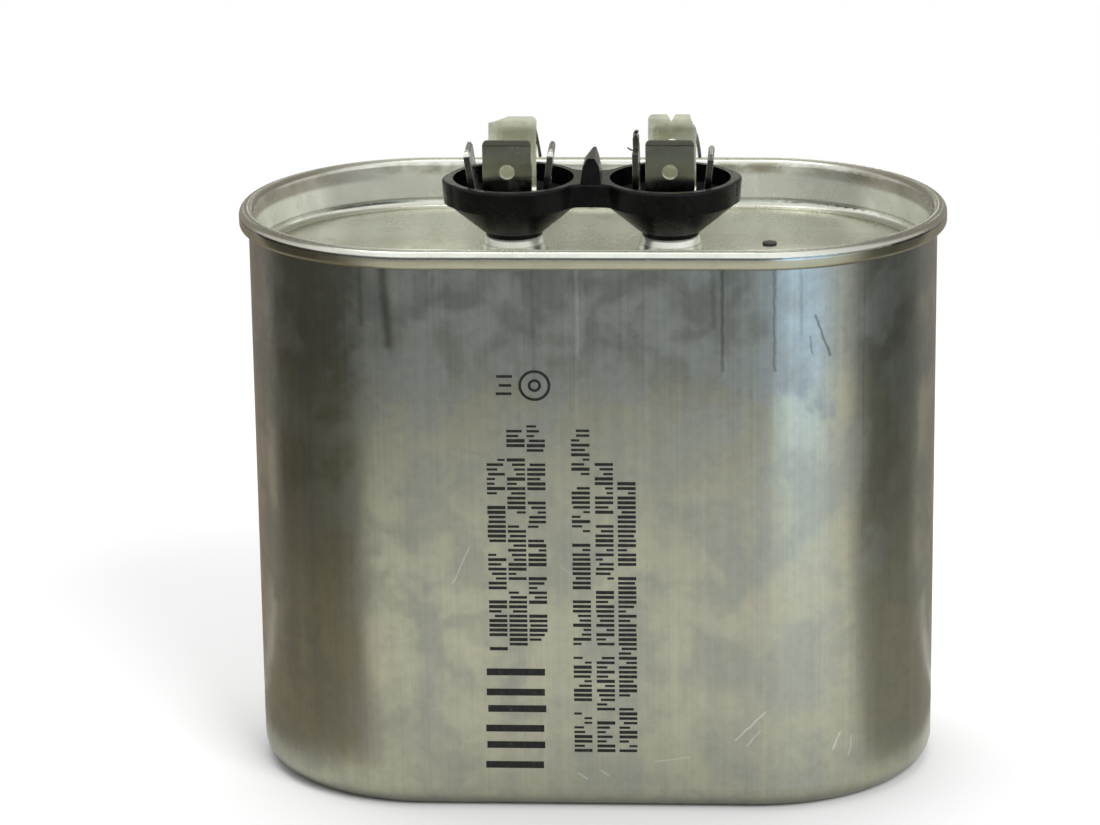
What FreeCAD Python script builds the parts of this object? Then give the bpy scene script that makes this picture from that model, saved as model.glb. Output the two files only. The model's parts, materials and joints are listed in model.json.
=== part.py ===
"""Oval motor run capacitor with two four-tab terminals in a twin cup.

The origin is the centre of the can's base. +X runs along the long side of the oval, -Y is the
printed front and +Z is up. Sizes are in millimetres.
"""
import FreeCAD
import Part
import math
import os

V = FreeCAD.Vector

# Case
case_length = 93.0          # over the seam
case_width = 50.0
case_height = 76.3          # floor to the top of the seam
can_sheet = 0.38            # drawn aluminium
base_radius = 3.0           # outside radius where wall meets base
seat_gap = 0.05             # clearance between pieces that rest on each other
hem_gap = 0.06              # clearance between the layers of the seam

# Lid and its double seam
lid_sheet = 0.34            # tinned steel
seam_height = 2.55
lid_depth = 6.6             # seam top down to the lid's floor
lid_foot_radius = 1.27      # where floor turns up into wall, at the middle of the sheet
wall_lean = 0.45            # how far the recess wall leans in at its foot
wall_straight = 2.3         # upright stretch of the wall below the seam top
crown_room = 0.22           # space over the can's hem, filled by sealing compound
sealant_width = 1.0
sealant_gap = 0.02

# Lid bosses that carry the terminals
terminal_spacing = 20.6
boss_rise = 2.35
boss_top_radius = 3.6
boss_foot_radius = 4.35
boss_skirt_radius = 5.4
boss_crown_bend = 0.45
boss_foot_bend = 0.6
boss_hole_radius = 2.6

# Filling hole and its plug
fill_x = 23.3
fill_y = 3.5
fill_hole_radius = 0.72
plug_head_radius = 0.95
plug_head_height = 0.22
plug_tail_length = 0.6

# Twin terminal cup
cup_outer_radius = 9.0
cup_draft = 0.25            # smaller radius at the foot of the upright wall
cup_inner_radius = 7.95
cup_rim_height = 7.6        # neck foot to rim
cup_wall_height = 3.1       # upright part of the wall
cup_bowl_height = 2.45      # depth of the straight bore inside
cup_wall_round = 0.3
cone_height = 3.8
cone_foot_radius = 4.3
neck_radius = 3.75
cup_floor_rise = 3.25       # neck foot to the floor inside the cup
cup_floor_radius = 5.6
web_half_width = 4.0
web_fillet = 2.0
ear_radius = 6.0            # of the swelling at the outer end of each cup
ear_proud = 0.4             # how far it stands out from the cup's circle
ear_shift = {"left": -0.5, "right": 0.5}

# Barrier between the cups
barrier_front = -3.9
barrier_back = 3.2
barrier_root = 1.0
barrier_front_outline = [(-1.35, 0.0), (-1.0, 2.3), (-0.4, 3.45), (0.55, 3.45), (1.15, 2.3), (1.4, 0.0)]
barrier_back_outline = [(-1.35, 0.0), (-1.0, 1.9), (0.1, 3.3), (0.5, 3.3), (0.85, 2.2), (1.3, 0.0)]

# Push-on tabs
tab_width = 6.35
tab_thickness = 0.81
tab_height = 9.2            # middle of the clip's base sheet to the tip of a front tab
tab_hole_radius = 1.0
tab_hole_from_tip = 4.2
tab_corner_radius = 0.7
tab_bevel_length = 0.55
tab_bevel_depth = 0.24
clip_half_span = 4.45       # terminal axis to each fold of a clip
clip_fold_radius = 1.0
left_lower_shift = -0.35     # off the terminal's axis
left_upper_shift = -0.45
left_upper_turn = -0.4
right_lower_shift = 0.1
right_upper_shift = 0.1

# Rivet and the stack below each cup
rivet_radius = 1.5
rivet_head_radius = 2.5
rivet_head_height = 1.05
rivet_tail_radius = 2.2
rivet_tail_height = 0.8
rivet_gap = 0.05
gasket_radius = 3.2
gasket_flange_foot = 0.1    # gasket foot below the lid's floor sheet
insulator_radius = 4.6
insulator_thickness = 1.0
lug_thickness = 0.5
lug_ring_radius = 3.0
lug_tail_width = 4.4
lug_tail_length = 8.2

# Disconnect plate
plate_margin = 0.9          # between the plate's edge and the can's wall
plate_thickness = 1.6
plate_below_rivet = 1.0
plate_slot_width = 7.0
plate_slot_length = 3.4
post_radius = 1.6
post_inset = 10.0           # between a post's axis and the roll's edge

# Roll of film
roll_room = 2.38            # between the roll and the can's wall
spray_thickness = 0.6
wrap_thickness = 0.4
wrap_stand_off = 2.0
roll_clearance_below_plate = 3.0

# Tray under the roll
tray_margin = 0.28          # between the tray's wall and the can's wall
tray_floor = 1.2
tray_wall = 0.35
tray_wall_height = 8.5
tray_foot_height = 1.9
tray_foot_width = 2.9
tray_foot_inset = 2.7

# Flat leads
lead_thickness = 0.3
lead_width = 5.0
lead_bend = 0.6
lead_drop_y = 8.6           # where both leads go down through the plate
lead_landing = 6.0          # length soldered flat on the spray
sleeve_wall = 0.25
sleeve_clearance = 0.1
sleeve_stand_off = 3.0

# Places that follow from the sizes above
oval_half_straight = (case_length - case_width) / 2.0
terminal_x = {"left": -terminal_spacing / 2.0, "right": terminal_spacing / 2.0}
lower_clip_places = {"left": (left_lower_shift, 0.0), "right": (right_lower_shift, 0.0)}
upper_clip_places = {"left": (left_upper_shift, left_upper_turn), "right": (right_upper_shift, 0.0)}

curl_u = case_width / 2.0 - lid_sheet / 2.0
can_hook_u = curl_u - lid_sheet / 2.0 - hem_gap - can_sheet / 2.0
lid_hook_u = can_hook_u - can_sheet / 2.0 - hem_gap - lid_sheet / 2.0
can_wall_u = lid_hook_u - lid_sheet / 2.0 - hem_gap - can_sheet / 2.0
recess_wall_u = can_wall_u - can_sheet / 2.0 - hem_gap - lid_sheet / 2.0
can_inner_u = can_wall_u - can_sheet / 2.0
arch_radius = (curl_u - recess_wall_u) / 2.0
lid_hem_radius = (curl_u - lid_hook_u) / 2.0
can_hem_radius = (can_hook_u - can_wall_u) / 2.0

arch_z = case_height - lid_sheet / 2.0 - arch_radius
can_hem_z = arch_z - crown_room
lid_hem_z = case_height - seam_height + lid_sheet / 2.0 + lid_hem_radius
lid_floor_z = case_height - lid_depth
lid_under_z = lid_floor_z - lid_sheet
boss_top_z = lid_floor_z + boss_rise

ear_reach = cup_outer_radius + ear_proud
cup_rim_z = boss_top_z + cup_rim_height
cup_wall_foot_z = cup_rim_z - cup_wall_height
cone_foot_z = cup_wall_foot_z - cone_height
cup_bore_foot_z = cup_rim_z - cup_bowl_height
cup_floor_z = boss_top_z + cup_floor_rise

lower_clip_z = cup_floor_z + tab_thickness / 2.0
upper_clip_z = lower_clip_z + tab_thickness
rivet_head_z = upper_clip_z + tab_thickness / 2.0
gasket_foot_z = lid_under_z - gasket_flange_foot
insulator_foot_z = gasket_foot_z - insulator_thickness
lug_foot_z = insulator_foot_z - lug_thickness
rivet_tail_z = lug_foot_z - rivet_tail_height
plate_top_z = rivet_tail_z - plate_below_rivet
plate_foot_z = plate_top_z - plate_thickness
tray_floor_z = can_sheet + seat_gap + tray_foot_height + tray_floor
roll_half_width = can_inner_u - roll_room
post_offset_y = roll_half_width - post_inset
post_offset_x = oval_half_straight + post_offset_y
roll_foot_z = tray_floor_z + lead_thickness + 2.0 * sealant_gap
roll_top_z = plate_foot_z - roll_clearance_below_plate


class Leg:
    """One upright tab of a clip: its lean outwards, its height and how its tip is torn."""

    def __init__(self, lean, height_share, tears=()):
        self.lean = lean
        self.height = height_share * tab_height
        self.tears = [[(y * tab_width, z * tab_width) for y, z in outline] for outline in tears]


# Heights are shares of the tab height. A torn tip is a list of outlines cut from the tab in its
# own plane, measured across from its middle and up from its tip in shares of the tab's width.
hooked_tip = [
    [(-0.63, 0.157), (0.016, 0.157), (0.016, -0.276), (-0.094, -0.315), (-0.63, -0.268)],
    [(0.63, 0.157), (0.362, 0.157), (0.299, -0.22), (0.409, -0.299), (0.63, -0.283)],
]
sloped_tip = [[(0.63, 0.079), (0.63, -0.157), (0.409, -0.118), (0.142, -0.024), (-0.031, 0.079)]]
notched_tip = [
    [(0.157, 0.079), (0.071, -0.055), (0.016, -0.15), (-0.039, -0.047), (-0.11, 0.079)],
    [(-0.63, 0.079), (-0.362, 0.079), (-0.386, -0.079), (-0.457, -0.252), (-0.63, -0.299)],
]
side_legs = {
    "left": (Leg(8.5, 0.875), Leg(7.0, 0.886)),
    "right": (Leg(1.0, 1.0435, hooked_tip), Leg(6.6, 0.824)),
}
front_legs = {"left": Leg(4.0, 1.01), "right": Leg(3.0, 1.01)}
back_legs = {"left": Leg(9.0, 1.07, sloped_tip), "right": Leg(8.0, 1.104, notched_tip)}


def bent_strip(points, radii, thickness):
    """Closed outline of sheet bent along straight runs, with one bend radius for each corner."""
    count = len(points)
    ways = []
    for i in range(count - 1):
        dx = points[i + 1][0] - points[i][0]
        dz = points[i + 1][1] - points[i][1]
        length = math.hypot(dx, dz)
        ways.append((dx / length, dz / length))

    def side_edges(offset):
        edges = []
        start = shifted(points[0], ways[0], offset)
        for i in range(1, count - 1):
            before, arc, after = corner(points[i], ways[i - 1], ways[i], radii[i - 1], offset)
            if before.distanceToPoint(start) > 1e-6:
                edges.append(Part.LineSegment(start, before).toShape())
            edges.append(Part.Arc(before, arc, after).toShape())
            start = after
        end = shifted(points[-1], ways[-1], offset)
        edges.append(Part.LineSegment(start, end).toShape())
        return edges, end

    half = thickness / 2.0
    left_side, left_end = side_edges(half)
    right_side, right_end = side_edges(-half)
    caps = [
        Part.LineSegment(shifted(points[0], ways[0], half), shifted(points[0], ways[0], -half)).toShape(),
        Part.LineSegment(left_end, right_end).toShape(),
    ]
    return Part.Wire(Part.__sortEdges__(left_side + right_side + caps))


def shifted(point, way, offset):
    """A point moved sideways from its run, in the XZ plane."""
    return V(point[0] - way[1] * offset, 0, point[1] + way[0] * offset)


def corner(point, way_in, way_out, radius, offset):
    """Start, middle and end of one bend, on the side of the sheet that the offset names."""
    cross = way_in[0] * way_out[1] - way_in[1] * way_out[0]
    dot = way_in[0] * way_out[0] + way_in[1] * way_out[1]
    turn = math.atan2(cross, dot)
    side = math.copysign(1.0, turn)
    reach = radius * math.tan(abs(turn) / 2.0)
    entry = (point[0] - way_in[0] * reach, point[1] - way_in[1] * reach)
    leave = (point[0] + way_out[0] * reach, point[1] + way_out[1] * reach)
    centre = V(entry[0] - way_in[1] * radius * side, 0, entry[1] + way_in[0] * radius * side)
    outward = V(point[0], 0, point[1]).sub(centre)
    outward.normalize()
    middle = centre.add(outward.multiply(radius - offset * side))
    return shifted(entry, way_in, offset), middle, shifted(leave, way_out, offset)


def around_oval(wire, half_straight=None):
    """Solid swept by an outline in the XZ plane round the oval, its X being the way outwards."""
    run = oval_half_straight if half_straight is None else half_straight
    face = Part.Face(wire)
    solids = []
    for turn, side in ((-90, 1), (90, -1)):
        end = face.copy()
        end.rotate(V(0, 0, 0), V(0, 0, 1), turn)
        straight = end.copy()
        end.translate(V(side * run, 0, 0))
        straight.translate(V(-run, 0, 0))
        solids.append(end.revolve(V(side * run, 0, 0), V(0, 0, 1), 180))
        solids.append(straight.extrude(V(2 * run, 0, 0)))
    return one_solid(solids[0].fuse(solids[1:]))


def polygon(points):
    """Closed straight-sided outline in the XZ plane."""
    corners = [V(x, 0, z) for x, z in points]
    return Part.makePolygon(corners + [corners[0]])


def one_solid(shape):
    """The single solid left after like faces are merged."""
    merged = shape.removeSplitter()
    if len(merged.Solids) != 1:
        raise ValueError("expected one solid, found %d" % len(merged.Solids))
    return merged.Solids[0]


def spun(wire, x=0.0, y=0.0):
    """Solid turned about an upright axis at x, y from an outline in the XZ plane."""
    solid = Part.Face(wire).revolve(V(0, 0, 0), V(0, 0, 1), 360)
    solid.translate(V(x, y, 0))
    return solid


def disc(radius, foot, top, x=0.0, y=0.0):
    """Upright cylinder between two heights."""
    return Part.makeCylinder(radius, top - foot, V(x, y, foot))


def ring(outer, inner, foot, top, x=0.0, y=0.0):
    """Upright tube between two heights."""
    return disc(outer, foot, top, x, y).cut(disc(inner, foot - 1, top + 1, x, y))


def oval_block(half_width, foot, top):
    """Solid oval slab whose edge runs at a constant distance from the long axis."""
    return around_oval(polygon([(0, foot), (half_width, foot), (half_width, top), (0, top)]))


def can():
    """Drawn can with its hem turned out and down inside the seam."""
    hem_top = can_hem_z + can_hem_radius
    points = [
        (0, can_sheet / 2.0),
        (can_wall_u, can_sheet / 2.0),
        (can_wall_u, hem_top),
        (can_hook_u, hem_top),
        (can_hook_u, lid_hem_z + hem_gap),
    ]
    radii = [base_radius - can_sheet / 2.0, can_hem_radius, can_hem_radius]
    return around_oval(bent_strip(points, radii, can_sheet))


def lid_boss(x):
    """Raised ring of the lid round one terminal hole."""
    sheet_top = boss_top_z - lid_sheet / 2.0
    sheet_foot = lid_floor_z - lid_sheet / 2.0
    points = [
        (boss_hole_radius, sheet_top),
        (boss_top_radius, sheet_top),
        (boss_foot_radius, sheet_foot),
        (boss_skirt_radius, sheet_foot),
    ]
    return spun(bent_strip(points, [boss_crown_bend, boss_foot_bend], lid_sheet), x)


def lid():
    """Pressed lid: floor, recess wall, rolled seam, two terminal bosses and a filling hole."""
    floor = lid_floor_z - lid_sheet / 2.0
    seam_top = case_height - lid_sheet / 2.0
    seam_foot = lid_hem_z - lid_hem_radius
    points = [
        (0, floor),
        (recess_wall_u - wall_lean, floor),
        (recess_wall_u, case_height - wall_straight),
        (recess_wall_u, seam_top),
        (curl_u, seam_top),
        (curl_u, seam_foot),
        (lid_hook_u, seam_foot),
        (lid_hook_u, can_hem_z - hem_gap),
    ]
    radii = [lid_foot_radius, lid_foot_radius, arch_radius, arch_radius, lid_hem_radius, lid_hem_radius]
    shell = around_oval(bent_strip(points, radii, lid_sheet))
    for x in terminal_x.values():
        shell = shell.cut(disc(boss_skirt_radius, lid_under_z - 1, lid_floor_z + 1, x))
        shell = shell.fuse(lid_boss(x))
    shell = shell.cut(disc(fill_hole_radius, lid_under_z - 1, lid_floor_z + 1, fill_x, fill_y))
    return one_solid(shell)


def seam_sealant():
    """Ribbon of sealing compound between the lid's crown and the can's hem."""
    middle = (curl_u + recess_wall_u) / 2.0
    half = sealant_width / 2.0
    outer = arch_radius - lid_sheet / 2.0 - sealant_gap
    inner = can_hem_radius + can_sheet / 2.0 + sealant_gap
    outer_side = arch_z + math.sqrt(outer ** 2 - half ** 2)
    inner_side = can_hem_z + math.sqrt(inner ** 2 - half ** 2)
    edges = [
        Part.Arc(V(middle - half, 0, outer_side), V(middle, 0, arch_z + outer),
                 V(middle + half, 0, outer_side)).toShape(),
        Part.LineSegment(V(middle + half, 0, outer_side), V(middle + half, 0, inner_side)).toShape(),
        Part.Arc(V(middle + half, 0, inner_side), V(middle, 0, can_hem_z + inner),
                 V(middle - half, 0, inner_side)).toShape(),
        Part.LineSegment(V(middle - half, 0, inner_side), V(middle - half, 0, outer_side)).toShape(),
    ]
    return around_oval(Part.Wire(edges))


def fill_plug():
    """Small blind rivet that closes the filling hole."""
    foot = lid_under_z - plug_tail_length
    shank = disc(fill_hole_radius - sealant_gap, foot, lid_floor_z, fill_x, fill_y)
    head = disc(plug_head_radius, lid_floor_z, lid_floor_z + plug_head_height, fill_x, fill_y)
    return one_solid(shank.fuse(head))


def twin_outline(radius, half_width, z):
    """Outline of both cups with the web between them, filleted where they meet."""
    centre = terminal_spacing / 2.0
    drop = half_width + web_fillet
    fillet_x = centre - math.sqrt((radius + web_fillet) ** 2 - drop ** 2)
    share = radius / (radius + web_fillet)
    touch = (centre - (centre - fillet_x) * share, drop * share)
    lean = math.atan2(centre - fillet_x, drop) / 2.0
    bend = (fillet_x + web_fillet * math.sin(lean), drop - web_fillet * math.cos(lean))
    edges = []
    for side in (1, -1):
        edges.append(Part.Arc(V(side * touch[0], -touch[1], z), V(side * (centre + radius), 0, z),
                              V(side * touch[0], touch[1], z)).toShape())
        for across in (1, -1):
            edges.append(Part.Arc(V(side * touch[0], across * touch[1], z),
                                  V(side * bend[0], across * bend[1], z),
                                  V(side * fillet_x, across * half_width, z)).toShape())
    for across in (1, -1):
        edges.append(Part.LineSegment(V(-fillet_x, across * half_width, z),
                                      V(fillet_x, across * half_width, z)).toShape())
    return Part.Wire(Part.__sortEdges__(edges))


def cup_ear(side):
    """Swelling of the wall at the outer end of one cup."""
    way = 1 if side == "right" else -1
    place = V(terminal_x[side] + way * (ear_reach - ear_radius), ear_shift[side], cup_wall_foot_z)
    ear = Part.makeCone(ear_radius - cup_draft, ear_radius, cup_wall_height, place)
    rim = [edge for edge in ear.Edges if edge.BoundBox.ZMin > cup_rim_z - 0.01]
    return ear.makeFillet(cup_wall_round, rim)


def cup_hollow(x):
    """Space inside one cup with the rivet's hole through its neck."""
    bowl = spun(polygon([
        (0, cup_floor_z),
        (cup_floor_radius, cup_floor_z),
        (cup_inner_radius, cup_bore_foot_z),
        (cup_inner_radius, cup_rim_z + 1),
        (0, cup_rim_z + 1),
    ]), x)
    return bowl.fuse(disc(rivet_radius + rivet_gap, boss_top_z - 1, cup_floor_z + 1, x))


def barrier():
    """Upright fin on the web that keeps the two terminals apart."""
    wires = []
    for y, outline in ((barrier_front, barrier_front_outline), (barrier_back, barrier_back_outline)):
        points = [V(x, y, cup_rim_z + z) for x, z in outline]
        root = [V(outline[-1][0], y, cup_rim_z - barrier_root), V(outline[0][0], y, cup_rim_z - barrier_root)]
        wires.append(Part.makePolygon(points + root + [points[0]]))
    return Part.makeLoft(wires, True, True)


def terminal_block():
    """Moulded twin cup with its web, cones, necks, end lugs and barrier."""
    wall_foot = twin_outline(cup_outer_radius - cup_draft, web_half_width, cup_wall_foot_z)
    wall_top = twin_outline(cup_outer_radius, web_half_width, cup_rim_z)
    body = Part.makeLoft([wall_foot, wall_top], True, True)
    rim_edges = [edge for edge in body.Edges if edge.BoundBox.ZMin > cup_rim_z - 0.01]
    body = body.makeFillet(cup_wall_round, rim_edges)
    for x in terminal_x.values():
        foot = spun(polygon([
            (0, boss_top_z),
            (neck_radius, boss_top_z),
            (neck_radius, cone_foot_z),
            (cone_foot_radius, cone_foot_z),
            (cup_outer_radius - cup_draft, cup_wall_foot_z),
            (cup_outer_radius - cup_draft, cup_wall_foot_z + 1),
            (0, cup_wall_foot_z + 1),
        ]), x)
        body = body.fuse(foot)
    for side in terminal_x:
        body = body.fuse(cup_ear(side))
    for x in terminal_x.values():
        body = body.cut(cup_hollow(x))
    return one_solid(body.fuse(barrier()))


def tip_cutters(leg):
    """What is cut from a tab at its tip, in a frame with the tip at the origin and the leg down -Z."""
    half = tab_width / 2.0
    thick = tab_thickness
    cutters = [Part.makeCylinder(tab_hole_radius, 2 * thick, V(-thick, 0, -tab_hole_from_tip), V(1, 0, 0))]
    for side in (1, -1):
        y = half - tab_corner_radius if side > 0 else -half - 1
        block = Part.makeBox(2 * thick, tab_corner_radius + 1, tab_corner_radius + 1,
                             V(-thick, y, -tab_corner_radius))
        rounding = Part.makeCylinder(tab_corner_radius, 2 * thick,
                                     V(-thick, side * (half - tab_corner_radius), -tab_corner_radius),
                                     V(1, 0, 0))
        cutters.append(block.cut(rounding))
        wedge = Part.makePolygon([
            V(side * (thick / 2.0 - tab_bevel_depth), -half - 1, 0.01),
            V(side * thick, -half - 1, 0.01),
            V(side * thick, -half - 1, -tab_bevel_length),
            V(side * thick / 2.0, -half - 1, -tab_bevel_length),
            V(side * (thick / 2.0 - tab_bevel_depth), -half - 1, 0.01),
        ])
        cutters.append(Part.Face(wedge).extrude(V(0, tab_width + 2, 0)))
    for outline in leg.tears:
        corners = [V(-thick, y, z) for y, z in outline]
        tear = Part.Face(Part.makePolygon(corners + [corners[0]]))
        cutters.append(tear.extrude(V(2 * thick, 0, 0)))
    return cutters


def tab_clip(first, second, base_z, turn, x):
    """U-shaped clip with two upright tabs; the first stands towards -X before the clip is turned."""
    tips = []
    for way, leg in ((-1, first), (1, second)):
        tips.append((way * (clip_half_span + leg.height * math.tan(math.radians(leg.lean))), leg.height))
    points = [tips[0], (-clip_half_span, 0), (clip_half_span, 0), tips[1]]
    strip = Part.Face(bent_strip(points, [clip_fold_radius] * 2, tab_thickness))
    strip.translate(V(0, -tab_width / 2.0, 0))
    clip = strip.extrude(V(0, tab_width, 0))
    for way, leg, tip in ((-1, first, tips[0]), (1, second, tips[1])):
        for cutter in tip_cutters(leg):
            cutter.rotate(V(0, 0, 0), V(0, 1, 0), way * leg.lean)
            cutter.translate(V(tip[0], 0, tip[1]))
            clip = clip.cut(cutter)
    clip = clip.cut(disc(rivet_radius + rivet_gap, -tab_thickness, tab_thickness))
    clip.rotate(V(0, 0, 0), V(0, 0, 1), turn)
    clip.translate(V(x, 0, base_z))
    return one_solid(clip)


def side_tabs(side):
    """Lower clip, whose tabs stand left and right."""
    shift, turn = lower_clip_places[side]
    first, second = side_legs[side]
    clip = tab_clip(first, second, lower_clip_z, turn, terminal_x[side] + shift)
    return clip.cut(disc(rivet_radius + rivet_gap, 0, case_height * 2, terminal_x[side]))


def front_back_tabs(side):
    """Upper clip, whose tabs stand front and back."""
    shift, turn = upper_clip_places[side]
    clip = tab_clip(front_legs[side], back_legs[side], upper_clip_z, turn + 90, terminal_x[side] + shift)
    return clip.cut(disc(rivet_radius + rivet_gap, 0, case_height * 2, terminal_x[side]))


def rivet(side):
    """Dome-headed rivet that holds the whole terminal stack together."""
    x = terminal_x[side]
    head = spun(bulb(rivet_head_radius, rivet_head_z, rivet_head_height), x)
    shank = disc(rivet_radius, rivet_tail_z, rivet_head_z, x)
    tail = disc(rivet_tail_radius, rivet_tail_z, lug_foot_z, x)
    return one_solid(head.fuse([shank, tail]))


def bulb(radius, foot, height):
    """Half outline of a head with a flat rim a third of its height and a spherical dome."""
    rim = foot + height / 3.0
    top = foot + height
    rise = top - rim
    dome = (radius ** 2 + rise ** 2) / (2.0 * rise)
    half_turn = math.asin(radius / dome) / 2.0
    shoulder = V(dome * math.sin(half_turn), 0, top - dome + dome * math.cos(half_turn))
    edges = [
        Part.LineSegment(V(0, 0, foot), V(radius, 0, foot)).toShape(),
        Part.LineSegment(V(radius, 0, foot), V(radius, 0, rim)).toShape(),
        Part.Arc(V(radius, 0, rim), shoulder, V(0, 0, top)).toShape(),
        Part.LineSegment(V(0, 0, top), V(0, 0, foot)).toShape(),
    ]
    return Part.Wire(edges)


def terminal_gasket(side):
    """Rubber bush that seals the rivet in the lid's boss."""
    x = terminal_x[side]
    boss_under = boss_top_z - lid_sheet
    flange = disc(gasket_radius, gasket_foot_z, boss_under, x)
    sleeve = disc(boss_hole_radius, boss_under, boss_top_z, x)
    hole = disc(rivet_radius + rivet_gap, gasket_foot_z - 1, boss_top_z + 1, x)
    return one_solid(flange.fuse(sleeve).cut(hole))


def inner_insulator(side):
    """Washer that keeps the soldering lug off the lid."""
    return ring(insulator_radius, rivet_radius + rivet_gap, insulator_foot_z, gasket_foot_z, terminal_x[side])


def solder_lug(side):
    """Ring lug with a tail towards +Y that the flat lead is soldered to."""
    x = terminal_x[side]
    tail = Part.makeBox(lug_tail_width, lug_tail_length, lug_thickness,
                        V(x - lug_tail_width / 2.0, 0, lug_foot_z))
    body = disc(lug_ring_radius, lug_foot_z, insulator_foot_z, x).fuse(tail)
    hole = disc(rivet_radius + rivet_gap, lug_foot_z - 1, insulator_foot_z + 1, x)
    return one_solid(body.cut(hole))


def disconnect_plate():
    """Oval plate under the lid, on posts that stand on the roll, with slots for the leads."""
    body = oval_block(can_inner_u - plate_margin, plate_foot_z, plate_top_z)
    for x in (-post_offset_x, 0, post_offset_x):
        for y in (-post_offset_y, post_offset_y):
            body = body.fuse(disc(post_radius, roll_top_z, plate_foot_z, x, y))
    for x in terminal_x.values():
        slot = Part.makeBox(plate_slot_width, plate_slot_length, plate_thickness + 2,
                            V(x - plate_slot_width / 2.0, lead_drop_y - plate_slot_length / 2.0,
                              plate_foot_z - 1))
        body = body.cut(slot)
    return one_solid(body)


def film_roll():
    """Flattened roll of metallised film, its turns as one solid."""
    return oval_block(roll_half_width, roll_foot_z + spray_thickness, roll_top_z - spray_thickness)


def end_spray(foot):
    """Layer of sprayed metal on one end of the roll."""
    return oval_block(roll_half_width, foot, foot + spray_thickness)


def roll_wrap():
    """Sleeve of insulating film round the roll."""
    foot = roll_foot_z + wrap_stand_off
    top = roll_top_z - wrap_stand_off
    inner = roll_half_width + seat_gap
    outer = inner + wrap_thickness
    return around_oval(polygon([(inner, foot), (outer, foot), (outer, top), (inner, top)]))


def roll_tray():
    """Moulded tray that lifts the roll off the can's base and stops it rattling."""
    outer = can_inner_u - tray_margin
    inner = outer - tray_wall
    foot = can_sheet + seat_gap
    under = foot + tray_foot_height
    foot_outer = outer - tray_foot_inset
    return around_oval(polygon([
        (0, under),
        (foot_outer - tray_foot_width, under),
        (foot_outer - tray_foot_width, foot),
        (foot_outer, foot),
        (outer, under),
        (outer, tray_floor_z + tray_wall_height),
        (inner, tray_floor_z + tray_wall_height),
        (inner, tray_floor_z),
        (0, tray_floor_z),
    ]))


def flat_lead(points, x):
    """Tinned ribbon bent along points in the YZ plane."""
    wire = bent_strip(points, [lead_bend] * (len(points) - 2), lead_thickness)
    face = Part.Face(wire)
    face.rotate(V(0, 0, 0), V(0, 0, 1), 90)
    face.translate(V(x - lead_width / 2.0, 0, 0))
    return face.extrude(V(lead_width, 0, 0))


def top_lead():
    """Ribbon from the left terminal's lug down to the spray on top of the roll."""
    under_lug = lug_foot_z - lead_thickness / 2.0
    landing = roll_top_z + lead_thickness / 2.0
    start = lead_drop_y - lead_bend - lead_thickness - (lug_tail_length - lug_ring_radius)
    points = [
        (start + 2.0 * lead_bend, under_lug),
        (lead_drop_y, under_lug),
        (lead_drop_y, landing),
        (lead_drop_y + lead_landing, landing),
    ]
    return flat_lead(points, terminal_x["left"])


def bottom_lead():
    """Ribbon from the right terminal's lug, over the roll and down its back, to the lower spray."""
    under_lug = lug_foot_z - lead_thickness / 2.0
    crossing = (plate_foot_z + roll_top_z) / 2.0
    landing = tray_floor_z + sealant_gap + lead_thickness / 2.0
    start = lead_drop_y - lead_bend - lead_thickness - (lug_tail_length - lug_ring_radius)
    points = [
        (start + 2.0 * lead_bend, under_lug),
        (lead_drop_y, under_lug),
        (lead_drop_y, crossing),
        (lead_wall_y(), crossing),
        (lead_wall_y(), landing),
        (roll_half_width - lead_landing, landing),
    ]
    return flat_lead(points, terminal_x["right"])


def lead_wall_y():
    """Where the long lead runs down, clear of the wrap by its sleeve."""
    wrap_face = roll_half_width + seat_gap + wrap_thickness
    return wrap_face + seat_gap + sleeve_wall + sleeve_clearance + lead_thickness / 2.0


def lead_sleeve():
    """Flat insulating tube over the long lead beside the roll."""
    foot = tray_floor_z + sleeve_stand_off
    top = roll_top_z - sleeve_stand_off
    inner_depth = lead_thickness / 2.0 + sleeve_clearance
    inner_width = lead_width / 2.0 + sleeve_clearance
    x = terminal_x["right"]
    y = lead_wall_y()
    outer = Part.makeBox(2 * (inner_width + sleeve_wall), 2 * (inner_depth + sleeve_wall), top - foot,
                         V(x - inner_width - sleeve_wall, y - inner_depth - sleeve_wall, foot))
    hollow = Part.makeBox(2 * inner_width, 2 * inner_depth, top - foot + 2,
                          V(x - inner_width, y - inner_depth, foot - 1))
    return outer.cut(hollow)


def pieces():
    """Every piece by name."""
    made = {
        "can": can(),
        "lid": lid(),
        "seam_sealant": seam_sealant(),
        "fill_plug": fill_plug(),
        "terminal_block": terminal_block(),
        "disconnect_plate": disconnect_plate(),
        "film_roll": film_roll(),
        "top_end_spray": end_spray(roll_top_z - spray_thickness),
        "bottom_end_spray": end_spray(roll_foot_z),
        "roll_wrap": roll_wrap(),
        "roll_tray": roll_tray(),
        "top_lead": top_lead(),
        "bottom_lead": bottom_lead(),
        "lead_sleeve": lead_sleeve(),
    }
    for side in terminal_x:
        made["side_tabs_" + side] = side_tabs(side)
        made["front_back_tabs_" + side] = front_back_tabs(side)
        made["terminal_rivet_" + side] = rivet(side)
        made["terminal_gasket_" + side] = terminal_gasket(side)
        made["inner_insulator_" + side] = inner_insulator(side)
        made["solder_lug_" + side] = solder_lug(side)
    return made


os.makedirs("parts", exist_ok=True)
for name, shape in pieces().items():
    solids = shape.Solids
    if len(solids) != 1 or not shape.isValid():
        raise ValueError("%s: %d solids, valid %s" % (name, len(solids), shape.isValid()))
    solids[0].exportStep("parts/%s.step" % name)
    box = solids[0].BoundBox
    print("%-24s %8.1f mm3  z %.2f to %.2f" % (name, solids[0].Volume, box.ZMin, box.ZMax))
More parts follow.
